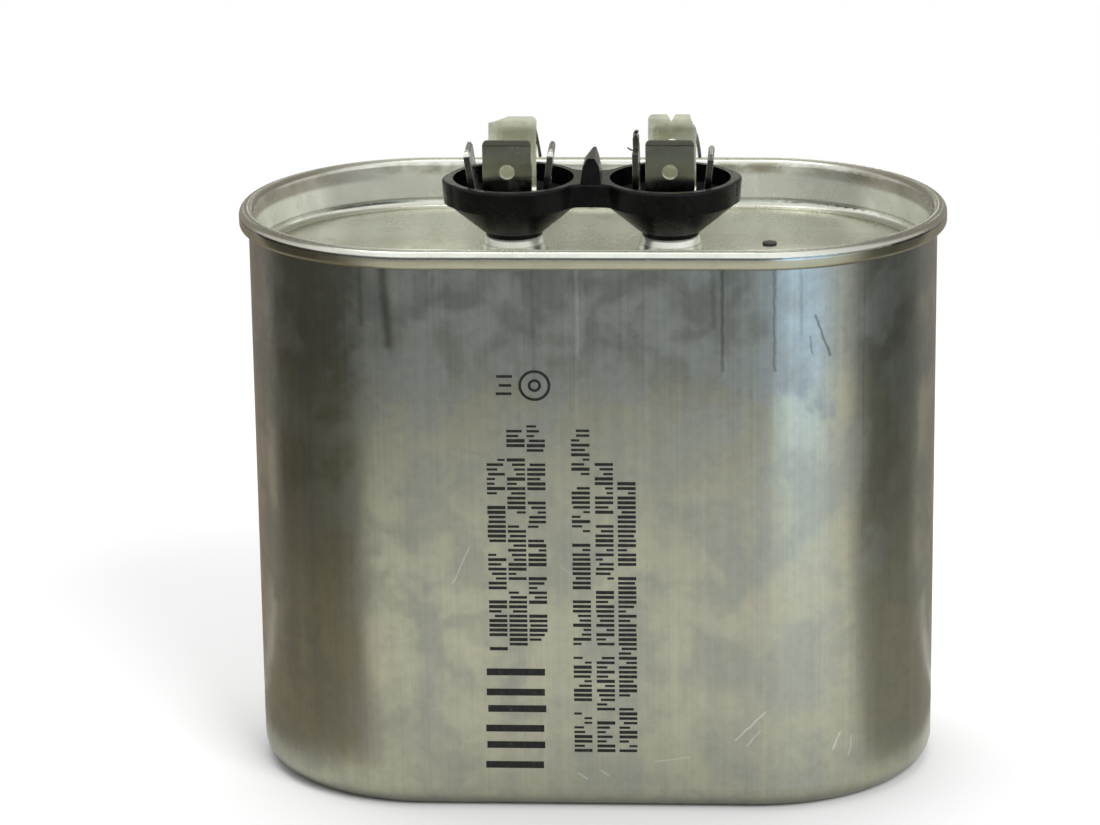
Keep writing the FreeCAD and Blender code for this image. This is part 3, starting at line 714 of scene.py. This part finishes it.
@dataclass(frozen=True)
class BlackMoulding(Finish):
    """Semi-matte black plastic of the terminal cups, with dust, and edges lightened as painted highlight."""

    name: str = "black moulding"
    plastic: Colour = (0.003, 0.003, 0.0033)
    dust: Colour = (0.03, 0.028, 0.024)
    # Painted highlight along the edges.
    edge_highlight: Colour = (0.035, 0.035, 0.034)
    roughness: Span = (0.2, 0.34)
    specular: float = 0.16

    def paint(self, s: Surface, g: Graph, e: Effects) -> None:
        """Dust the plastic, lighten its edges as painted highlight and let the moulding's flow show in its
        gloss.
        """
        clouds = s.effect(e.clouds, Size=3.0, Low=0.4, High=0.7)
        grain = s.effect(e.clouds, Size=0.25, Low=0.4, High=0.7)
        flow = s.effect(e.lines, Pitch=0.5, Length=9.0, Contrast=0.2)
        edges = s.effect(e.edges, Radius=0.00018, Low=0.02, High=0.3)
        # Painted highlight: the edges are lightened.
        s.set(Base_Color=s.layers(self.plastic, (clouds, 0.1, self.dust), (edges, 0.4, self.edge_highlight)),
              Roughness=s.rough(self.roughness, clouds, flow, 0.5), Specular_IOR_Level=self.specular,
              Normal=s.bumps((grain, 0.000006), (flow, 0.000006)))


@dataclass(frozen=True)
class PrintInk(Finish):
    """Black print on bare metal, slightly broken where it didn't take."""

    name: str = "print ink"
    ink: Colour = (0.008, 0.008, 0.008)
    thin: Colour = (0.05, 0.05, 0.044)
    roughness: float = 0.6
    specular: float = 0.15

    def paint(self, s: Surface, g: Graph, e: Effects) -> None:
        """Thin the ink in small patches and along the metal's lines."""
        worn = s.effect(e.clouds, Size=0.5, Low=0.52, High=0.7)
        lines = s.effect(e.lines, Pitch=0.2, Length=8.0, Contrast=0.2)
        gone = g.maths("MAXIMUM", worn, g.times(lines, 0.4))
        s.set(Base_Color=s.layers(self.ink, (gone, 0.6, self.thin)), Roughness=self.roughness,
              Specular_IOR_Level=self.specular, Normal=s.bumps((worn, 0.000006)))


@dataclass(frozen=True)
class GrainedFinish(Finish):
    """A finish with two tones and a grain, for what sits inside the can."""

    colour: Colour
    shade: Colour
    roughness: float
    metallic: float = 0.0
    patch: float = 4.0
    grain: float = 0.4
    depth: float = 0.00001
    rough_span: Span = (-0.05, 0.1)

    def paint(self, s: Surface, g: Graph, e: Effects) -> None:
        """Shade the colour in patches and in the grain."""
        clouds = s.effect(e.clouds, Size=self.patch, Low=0.4, High=0.65)
        grain = s.effect(e.clouds, Size=self.grain, Low=0.4, High=0.7)
        less, more = self.rough_span
        s.set(Base_Color=s.layers(self.colour, (clouds, 0.6, self.shade), (grain, 0.25, self.shade)),
              Roughness=s.rough((self.roughness + less, self.roughness + more), grain),
              Metallic=self.metallic, Normal=s.bumps((grain, self.depth)))


class Wardrobe:
    """Every finish of the object, made once and handed out by the record's slot."""

    def __init__(self, effects: Effects) -> None:
        """Make the materials.

        Args:
            effects: The shared groups.
        """
        finishes = {
            "dark_solder": GrainedFinish("dark solder", (0.012, 0.011, 0.010), (0.04, 0.036, 0.03), 0.5),
            "sealing_rubber": GrainedFinish("sealing rubber", (0.03, 0.03, 0.033), (0.07, 0.07, 0.07), 0.7),
            "pale_insulator": GrainedFinish("pale insulator", (0.62, 0.58, 0.49), (0.50, 0.46, 0.38), 0.5),
            "plastic_film": GrainedFinish("plastic film", (0.52, 0.55, 0.58), (0.38, 0.40, 0.42), 0.2, 0.6),
            "sprayed_zinc": GrainedFinish("sprayed zinc", (0.30, 0.30, 0.31), (0.15, 0.15, 0.16), 0.65, 1.0,
                                          patch=3.0, grain=0.3, depth=0.00008),
            "tinned_lead": GrainedFinish("tinned lead", (0.62, 0.60, 0.52), (0.42, 0.40, 0.33), 0.3, 1.0),
            "can_aluminium": DrawnAluminium(),
            "tinned_steel": TinnedSteel(),
            "tinned_tab": TinnedTab(),
            "black_moulding": BlackMoulding(),
        }
        self.by_slot = {slot: finish.make(effects) for slot, finish in finishes.items()}
        self.ink = PrintInk().make(effects)

    def dress(self, piece: bpy.types.Object, material: bpy.types.Material) -> None:
        """Give a piece one material in all its slots.

        Args:
            piece: The object to dress.
            material: Its finish.
        """
        if not piece.material_slots:
            piece.data.materials.append(material)
        for slot in piece.material_slots:
            slot.material = material

    def add(self, piece: bpy.types.Object, material: bpy.types.Material, slot: str) -> None:
        """Dress a new piece and let it ride on the body.

        Args:
            piece: The new piece, with its place in its mesh.
            material: Its finish.
            slot: The record's material slot; not used.
        """
        self.dress(piece, material)
        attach(piece, "root")
        log.info("%s: %d faces", piece.name, len(piece.data.polygons))


class Mark(Enum):
    """Simple shapes that the print is made of."""

    BAR = "bar"
    RING = "ring"


@dataclass(frozen=True)
class PrintedRow:
    """One upright row of bars on the front, in millimetres along X and Z."""

    left: float
    foot: float
    length: float
    height: float
    seed: int
    pitch: float = 0.645
    stroke: float = 0.36
    word: float = 5.0
    shortest: float = 0.35


@dataclass(frozen=True)
class PrintedShape:
    """One larger mark: its shape, the middle of it and its size, in millimetres."""

    shape: Mark
    x: float
    z: float
    width: float
    height: float


@dataclass(frozen=True)
class PrintedMarks:
    """Generic print on the can's flat front: rows of short bars, a bold block and two small marks.

    Of the bars of a row, those whose random length is over 1 have the row's whole height.
    """

    face_y: float = -0.02376
    thickness: float = 0.00003
    longest: float = 1.7
    weights: Span = (0.8, 1.3)
    words_to_turn: float = 2.0
    space: float = 1.5
    seed_step: float = 3.0
    side_seed: float = 100.0
    ring_steps: int = 48
    rows: tuple[PrintedRow, ...] = (
        PrintedRow(-12.75, 22.2, 27.9, 2.35, 3),
        PrintedRow(-10.15, 22.2, 30.6, 2.35, 5, word=7.0),
        PrintedRow(-7.55, 22.2, 32.3, 2.35, 8, word=4.0),
        PrintedRow(-1.87, 8.1, 44.8, 2.35, 13, word=6.0),
        PrintedRow(1.13, 8.1, 40.1, 2.35, 21, word=7.0),
        PrintedRow(4.02, 8.1, 38.0, 2.35, 34, word=14.0),
    )
    shapes: tuple[PrintedShape, ...] = (
        *(PrintedShape(Mark.BAR, x, z, 7.6, 0.95) for x, z in (
            (-9.7, 6.35), (-9.5, 9.15), (-9.6, 11.45), (-9.3, 14.2), (-9.45, 16.5), (-9.4, 19.3))),
        *(PrintedShape(Mark.BAR, x, z, width, 0.36) for x, z, width in (
            (-10.4, 57.2, 2.0), (-10.2, 58.3, 1.6), (-10.3, 59.5, 2.0))),
        *(PrintedShape(Mark.RING, -6.45, 58.3, width, 0.36) for width in (4.1, 1.7)),
    )

    @staticmethod
    def drawn(g: Graph, low: Feed, high: float, seed: Socket) -> Socket:
        """A random number for each bar.

        Args:
            g: The tree's graph.
            low: The least it can be.
            high: The most it can be.
            seed: Seed of the draw.

        Returns:
            The number.
        """
        inputs = {2: low, 3: high, "Seed": seed}
        return g.node("FunctionNodeRandomValue", inputs, data_type="FLOAT").outputs[1]

    def tree(self, material: bpy.types.Material) -> bpy.types.NodeTree:
        """Row of bars of random length across the row, with a space after each word.

        Args:
            material: The ink.

        Returns:
            The geometry node tree.
        """
        sizes = ("Left", "Foot", "Length", "Height", "Pitch", "Stroke", "Word", "Shortest", "Face",
                 "Thickness")
        g, start, end = begun("row of bars", Tree.GEOMETRY, {**dict.fromkeys(sizes, 0.0), "Seed": 0})
        seed = start["Seed"]
        line = g.node("GeometryNodeMeshLine", {
            "Count": g.maths("FLOOR", g.maths("DIVIDE", start["Length"], start["Pitch"])),
            "Start Location": g.xyz(start["Left"], start["Face"], start["Foot"]),
            "Offset": g.xyz(z=start["Pitch"])}).outputs[0]
        index = g.node("GeometryNodeInputIndex").outputs[0]
        letter = g.maths("MODULO", g.maths("ADD", index, g.times(seed, self.seed_step)),
                         g.times(start["Word"], self.words_to_turn))
        kept = g.node("GeometryNodeDeleteGeometry", {
            "Geometry": line, "Selection": g.maths("LESS_THAN", letter, self.space)}, domain="POINT")
        across = g.maths("MINIMUM", self.drawn(g, start["Shortest"], self.longest, seed), 1.0)
        spare = g.times(g.maths("SUBTRACT", 1.0, across), g.times(start["Height"], 0.5))
        side = g.maths("SIGN", self.drawn(g, -1.0, 1.0, g.maths("ADD", seed, self.side_seed)))
        moved = g.node("GeometryNodeSetPosition", {
            "Geometry": kept.outputs[0], "Offset": g.xyz(g.times(spare, side))})
        block = g.node("GeometryNodeMeshCube", {
            "Size": g.xyz(start["Height"], start["Thickness"], start["Stroke"])})
        bars = g.node("GeometryNodeInstanceOnPoints", {
            "Points": moved.outputs[0], "Instance": block.outputs[0],
            "Scale": g.xyz(across, 1.0, self.drawn(g, *self.weights, seed))})
        g.give(end, bars.outputs[0], material)
        return g.tree

    def values(self, row: PrintedRow) -> dict[str, float]:
        """The tree's inputs for one row, in metres."""
        return {
            "Left": (row.left + row.height / 2) * MM, "Foot": (row.foot + row.pitch / 2) * MM,
            "Length": row.length * MM, "Height": row.height * MM, "Pitch": row.pitch * MM,
            "Stroke": row.stroke * MM, "Word": row.word, "Shortest": row.shortest,
            "Face": self.face_y, "Thickness": self.thickness, "Seed": row.seed,
        }

    def outline(self, shape: PrintedShape) -> bpy.types.Mesh:
        """Flat closed plate of one larger mark, standing on the can's face.

        Args:
            shape: What to draw.

        Returns:
            Its mesh.
        """
        form = bmesh.new()
        if shape.shape is Mark.BAR:
            bmesh.ops.create_cube(form, size=1.0)
            size = Vector((shape.width * MM, self.thickness, shape.height * MM))
            bmesh.ops.scale(form, vec=size, verts=form.verts)
        else:
            outer, inner = shape.width / 2 * MM, shape.width / 2 * MM - shape.height * MM
            turns = [math.tau * i / self.ring_steps for i in range(self.ring_steps)]
            loops = [[form.verts.new((r * math.cos(turn), y * self.thickness / 2, r * math.sin(turn)))
                      for turn in turns] for r, y in ((outer, -1), (inner, -1), (inner, 1), (outer, 1))]
            for near, far in zip(loops, loops[1:] + loops[:1]):
                for i in range(self.ring_steps):
                    j = (i + 1) % self.ring_steps
                    form.faces.new((near[i], near[j], far[j], far[i]))
            bmesh.ops.recalc_face_normals(form, faces=form.faces)
        bmesh.ops.translate(form, vec=(shape.x * MM, self.face_y, shape.z * MM), verts=form.verts)
        mesh = bpy.data.meshes.new("mark")
        form.to_mesh(mesh)
        form.free()
        return mesh

    def build(self, wardrobe: Wardrobe) -> None:
        """Build the rows as one piece and the larger marks as another.

        Args:
            wardrobe: The finishes.
        """
        tree = self.tree(wardrobe.ink)
        rows = joined("printed_rows", [baked(tree, self.values(row)) for row in self.rows])
        marks = joined("printed_marks", [self.outline(shape) for shape in self.shapes])
        for piece in (rows, marks):
            wardrobe.add(piece, wardrobe.ink, "can_aluminium")


@dataclass(frozen=True)
class Sliver:
    """One strip of plating peeled off a torn tab: three points of its path and its width, in millimetres."""

    start: Place
    middle: Place
    end: Place
    width: float


@dataclass(frozen=True)
class TornEdges:
    """Thin strips that still hang on the torn ends of the tabs, in millimetres."""

    thickness: float = 0.42
    resolution: int = 14
    slivers: tuple[Sliver, ...] = (
        Sliver((13.22, 5.75, 85.2), (13.80, 5.9, 83.4), (14.02, 5.9, 80.8), 0.42),
        Sliver((-7.78, 5.75, 84.9), (-7.35, 5.9, 82.8), (-7.1, 5.9, 80.9), 0.36),
        Sliver((5.60, 1.9, 84.7), (5.62, 1.8, 85.5), (6.10, 1.6, 85.45), 0.2),
        Sliver((5.35, 1.7, 82.85), (5.0, 1.6, 82.9), (4.65, 1.6, 83.25), 0.16),
    )

    def tree(self, material: bpy.types.Material) -> bpy.types.NodeTree:
        """A flat strip swept along a curve through three points.

        Args:
            material: The strip's finish.

        Returns:
            The geometry node tree.
        """
        g, start, end = begun("torn sliver", Tree.GEOMETRY, {
            "Start": ORIGIN, "Middle": ORIGIN, "End": ORIGIN, "Width": 0.0, "Thickness": 0.0})
        path = g.node("GeometryNodeCurveQuadraticBezier", {
            "Resolution": self.resolution, "Start": start["Start"], "Middle": start["Middle"],
            "End": start["End"]})
        profile = g.node("GeometryNodeCurvePrimitiveQuadrilateral", {
            "Width": start["Thickness"], "Height": start["Width"]})
        swept = g.node("GeometryNodeCurveToMesh", {
            "Curve": path.outputs[0], "Profile Curve": profile.outputs[0], "Fill Caps": True})
        g.give(end, swept.outputs[0], material)
        return g.tree

    def values(self, sliver: Sliver) -> dict[str, Any]:
        """The tree's inputs for one sliver, in metres."""
        points = {"Start": sliver.start, "Middle": sliver.middle, "End": sliver.end}
        values: dict[str, Any] = {name: tuple(c * MM for c in point) for name, point in points.items()}
        values["Width"], values["Thickness"] = sliver.width * MM, self.thickness * MM
        return values

    def build(self, wardrobe: Wardrobe) -> None:
        """Build all the slivers as one piece.

        Args:
            wardrobe: The finishes.
        """
        material = wardrobe.by_slot["tinned_tab"]
        tree = self.tree(material)
        piece = joined("torn_edges", [baked(tree, self.values(sliver)) for sliver in self.slivers])
        wardrobe.add(piece, material, "tinned_tab")


def baked(tree: bpy.types.NodeTree, values: dict[str, Any]) -> bpy.types.Mesh:
    """Run a geometry node tree once and return its plain mesh.

    Args:
        tree: The geometry node tree.
        values: Its inputs by name.

    Returns:
        The mesh that the tree makes.
    """
    holder = placed("holder", bpy.data.meshes.new("holder"))
    modifier = holder.modifiers.new("nodes", "NODES")
    modifier.node_group = tree
    for item in tree.interface.items_tree:
        if item.in_out == "INPUT":
            modifier[item.identifier] = values[item.name]
    mesh = bpy.data.meshes.new_from_object(holder.evaluated_get(bpy.context.evaluated_depsgraph_get()))
    bpy.data.objects.remove(holder)
    return mesh


def joined(name: str, meshes: list[bpy.types.Mesh]) -> bpy.types.Object:
    """One object from several meshes.

    Args:
        name: Name of the new piece.
        meshes: Meshes in the frame's place.

    Returns:
        The object, at the origin.
    """
    points: list = []
    faces: list = []
    for mesh in meshes:
        start = len(points)
        points += [tuple(v.co) for v in mesh.vertices]
        faces += [tuple(start + i for i in p.vertices) for p in mesh.polygons]
    data = mesh_of(name, points, faces)
    form = bmesh.new()
    form.from_mesh(data)
    bmesh.ops.recalc_face_normals(form, faces=form.faces)
    form.to_mesh(data)
    form.free()
    return placed(name, data)


@dataclass(frozen=True)
class Camera:
    """The photograph's viewpoint, solved from the can's outlines."""

    place: Place = (0.026564, -0.550725, 0.219801)
    target: Place = (-0.0059, 0.0, 0.047272)
    roll: float = -0.774
    lens: float = 141.79
    sensor: float = 36.0
    clip: Span = (0.01, 20.0)

    def build(self) -> None:
        """Make the camera and hand it to the scene."""
        data = bpy.data.cameras.new("camera")
        data.lens, data.sensor_width = self.lens, self.sensor
        data.clip_start, data.clip_end = self.clip
        back = (Vector(self.place) - Vector(self.target)).normalized()
        right = Vector((0, 0, 1)).cross(back).normalized()
        up = back.cross(right)
        turn = math.radians(self.roll)
        across = math.cos(turn) * right + math.sin(turn) * up
        above = -math.sin(turn) * right + math.cos(turn) * up
        matrix = Matrix((across, above, back)).transposed().to_4x4()
        matrix.translation = Vector(self.place)
        camera = placed("camera", data)
        camera.matrix_world = matrix
        bpy.context.scene.camera = camera


@dataclass(frozen=True)
class Lamp:
    """One soft rectangular lamp aimed at the object; only a mirrored one shows in polished surfaces."""

    name: str
    place: Place
    width: float
    height: float
    watts: float
    target: Place = (0.0, 0.0, 0.045)
    mirrored: bool = True

    def build(self) -> None:
        """Make the lamp."""
        data = bpy.data.lights.new(self.name, "AREA")
        data.shape = "RECTANGLE"
        data.size, data.size_y, data.energy = self.width, self.height, self.watts
        lamp = placed(self.name, data)
        lamp.visible_glossy = self.mirrored
        lamp.location = self.place
        lamp.rotation_euler = (Vector(self.place) - Vector(self.target)).to_track_quat("Z", "Y").to_euler()


@dataclass(frozen=True)
class Card:
    """A studio card that only polished surfaces see: a curved upright sheet, with a lip along the floor.

    It runs about the Z axis from one angle to another, in degrees from -Y.
    """

    name: str
    start: float
    end: float
    distance: float
    top: float
    colour: Colour
    foot: float = 0.001
    lip: float = 0.0
    facet: float = 3.0

    def build(self) -> None:
        """Make the card, with its glow for reflections alone."""
        steps = max(2, int(abs(self.end - self.start) / self.facet))
        rims = [(self.distance, self.foot), (self.distance, self.top)]
        if self.lip:
            rims.insert(0, (self.lip, self.foot))
        points, faces = [], []
        for i in range(steps + 1):
            angle = math.radians(self.start + (self.end - self.start) * i / steps)
            for radius, height in rims:
                points.append((radius * math.sin(angle), -radius * math.cos(angle), height))
        row = len(rims)
        for i in range(steps):
            for j in range(row - 1):
                first = i * row + j
                faces.append((first, first + 1, first + row + 1, first + row))
        reflected(self.name, points, faces, self.colour)


@dataclass(frozen=True)
class Ceiling:
    """A wide curved sheet from low behind the object to over it, that only polished surfaces see."""

    colour: Colour = (0.42, 0.41, 0.37)
    half_width: float = 1.2
    profile: tuple[tuple[float, float], ...] = (
        (0.70, 0.02), (0.70, 0.30), (0.62, 0.55), (0.45, 0.74), (0.20, 0.84), (0.02, 0.86))

    def build(self) -> None:
        """Make the sheet by sweeping its profile, given as (Y, Z), along X."""
        points = [(x, y, z) for y, z in self.profile for x in (-self.half_width, self.half_width)]
        faces = [(2 * i, 2 * i + 1, 2 * i + 3, 2 * i + 2) for i in range(len(self.profile) - 1)]
        reflected("ceiling", points, faces, self.colour)


def reflected(name: str, points: list[Place], faces: list[tuple[int, ...]], colour: Colour) -> None:
    """Stage a glowing sheet that shows in reflections alone.

    Args:
        name: Name of the sheet and its material.
        points: Its corners.
        faces: Its faces.
        colour: Its glow.
    """
    data = mesh_of(name, points, faces)
    sheet = placed(name, data)
    material = bpy.data.materials.new(name)
    g = cleared(material)
    glow = g.node("ShaderNodeEmission", {"Color": colour, "Strength": 1.0})
    g.node("ShaderNodeOutputMaterial", {"Surface": glow.outputs[0]})
    data.materials.append(material)
    for ray in ("camera", "diffuse", "transmission", "volume_scatter", "shadow"):
        setattr(sheet, "visible_" + ray, False)


@dataclass(frozen=True)
class Studio:
    """Pale floor, soft lamps, reflection cards and a plain white surround."""

    floor_half: float = 3.0
    floor_colour: Colour = (0.83, 0.83, 0.83)
    shadow_radius: float = 0.10
    clear_radius: float = 0.30
    ambient: float = 0.62
    lamps: tuple[Lamp, ...] = (
        Lamp("key lamp", (0.55, -0.75, 0.75), 0.6, 0.6, 9.0, mirrored=False),
        Lamp("top lamp", (-0.1, 0.25, 0.95), 0.9, 0.7, 6.0),
    )
    cards: tuple[Card, ...] = (
        Card("left dark card", -106.0, -46.0, 0.13, 0.078, (0.105, 0.102, 0.085)),
        Card("left dark lip", -106.0, -46.0, 0.13, 0.002, (0.36, 0.32, 0.27), lip=0.05),
        Card("right dark card", 64.0, 112.0, 0.13, 0.078, (0.14, 0.142, 0.135)),
        Card("right dark lip", 66.0, 112.0, 0.13, 0.002, (0.42, 0.40, 0.36), lip=0.05),
        Card("bright card", 20.0, 46.0, 0.20, 0.115, (1.5, 2.1, 3.0)),
        Card("front card", -46.0, 18.0, 0.18, 0.078, (0.16, 0.18, 0.20)),
        Card("left warm card", -178.0, -110.0, 0.13, 0.07, (0.42, 0.35, 0.30), lip=0.06),
        Card("right warm card", 116.0, 178.0, 0.13, 0.07, (0.46, 0.42, 0.38), lip=0.06),
        Card("right back strip", 176.0, 178.4, 0.55, 0.55, (1.5, 1.5, 1.35), foot=0.09),
        Card("left back strip", -173.3, -171.3, 0.55, 0.55, (1.7, 1.7, 1.5), foot=0.09),
    )
    ceiling: Ceiling = Ceiling()

    def build(self) -> None:
        """Make the whole studio."""
        self._world()
        self._floor()
        for thing in (*self.lamps, *self.cards, self.ceiling):
            thing.build()
        bpy.context.scene.view_settings.view_transform = "Standard"

    @staticmethod
    def _seen_directly(g: Graph) -> Socket:
        """1 for camera, glossy and transmission rays, so that metal shows the background too."""
        path = g.node("ShaderNodeLightPath")
        seen = g.maths("MAXIMUM", path.outputs["Is Camera Ray"], path.outputs["Is Glossy Ray"])
        return g.maths("MAXIMUM", seen, path.outputs["Is Transmission Ray"])

    def _world(self) -> None:
        """White where it is seen, softer where it lights the object."""
        world = bpy.data.worlds.new("surround")
        g = cleared(world)
        light = g.node("ShaderNodeBackground", {"Color": WHITE, "Strength": self.ambient})
        white = g.node("ShaderNodeBackground", {"Color": WHITE, "Strength": 1.0})
        mixed = g.node("ShaderNodeMixShader", {
            0: self._seen_directly(g), 1: light.outputs[0], 2: white.outputs[0]})
        g.node("ShaderNodeOutputWorld", {"Surface": mixed.outputs[0]})
        bpy.context.scene.world = world

    def _floor(self) -> None:
        """Pale floor that keeps the object's shadow and turns into the white surround further out."""
        half = self.floor_half
        data = mesh_of("floor", [(-half, -half, 0), (half, -half, 0), (half, half, 0), (-half, half, 0)],
                       [(0, 1, 2, 3)])
        floor = placed("floor", data)
        material = bpy.data.materials.new("pale floor")
        g = cleared(material)
        matte = g.node("ShaderNodeBsdfDiffuse", {"Color": self.floor_colour})
        white = g.node("ShaderNodeEmission", {"Color": WHITE, "Strength": 1.0})
        distance = g.measure("LENGTH", g.node("ShaderNodeTexCoord").outputs["Object"])
        share = g.times(g.stretched(distance, self.shadow_radius, self.clear_radius), self._seen_directly(g))
        mixed = g.node("ShaderNodeMixShader", {0: share, 1: matte.outputs[0], 2: white.outputs[0]})
        g.node("ShaderNodeOutputMaterial", {"Surface": mixed.outputs[0]})
        data.materials.append(material)


def dress_solids(wardrobe: Wardrobe) -> None:
    """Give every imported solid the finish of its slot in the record.

    Args:
        wardrobe: The finishes.
    """
    slots = {part["node"]: part["material_slot"] for part in frame["record"]["subparts"]}
    for name, piece in frame["nodes"].items():
        wardrobe.dress(piece, wardrobe.by_slot[slots[name]])
        log.info("%s: %s", name, slots[name])


def main() -> None:
    """Build the object's looks and the studio around it."""
    logging.basicConfig(level=logging.INFO, format="%(message)s")
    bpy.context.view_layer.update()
    wardrobe = Wardrobe(Effects())
    dress_solids(wardrobe)
    PrintedMarks().build(wardrobe)
    TornEdges().build(wardrobe)
    Camera().build()
    Studio().build()


if __name__ == "__main__":
    main()
